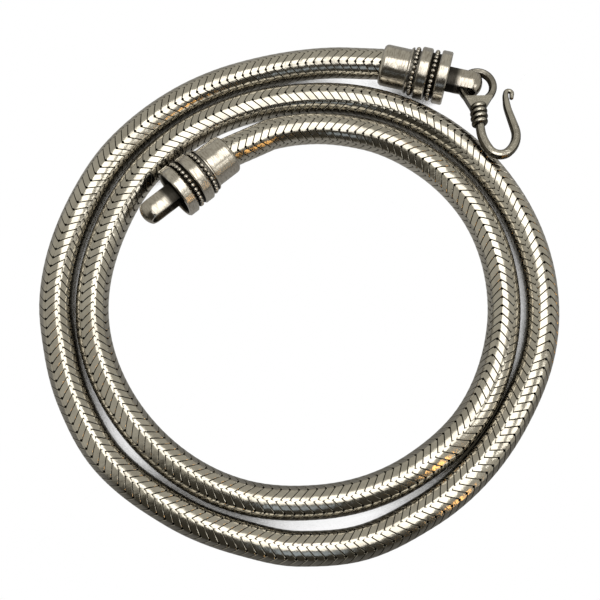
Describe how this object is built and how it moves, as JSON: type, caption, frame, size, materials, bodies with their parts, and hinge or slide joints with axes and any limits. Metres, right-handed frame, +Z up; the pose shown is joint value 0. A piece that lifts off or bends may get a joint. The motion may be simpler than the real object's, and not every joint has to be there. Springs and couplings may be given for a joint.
{
  "type": "snake chain necklace",
  "caption": "Thick round woven neck chain lying in a flat coil, with beaded end caps, strap loops and a wire-bound S-bent hook clasp, undone.",
  "frame": {"origin": "on the surface that the necklace lies on, under the middle of its whole outline", "axes": "+Z up from the surface; +Y away from the viewer, towards the hook's end cap at the back of the coil; +X to the right"},
  "size_m": [0.1242, 0.1281, 0.0135],
  "materials": {
    "woven_silver": "burnished woven wire, bright on top and tarnished almost black in its gaps",
    "cap_silver": "worn and brushed sheet metal with dark tarnish in its channels",
    "hook_silver": "hand-worked wire, worn bright, with dark tarnish in its binding"
  },
  "bodies": {
    "necklace": {"chain": "woven_silver", "hook_end_cap": "cap_silver", "plain_end_cap": "cap_silver"},
    "hook": {"hook": "hook_silver"}
  },
  "joints": [
    {"name": "hook_swing", "type": "hinge", "parent": "necklace", "child": "hook", "pos_m": [0.04505, 0.0521, 0.007], "axis": [0, 0, 1], "range_deg": [0, 130]}
  ]
}
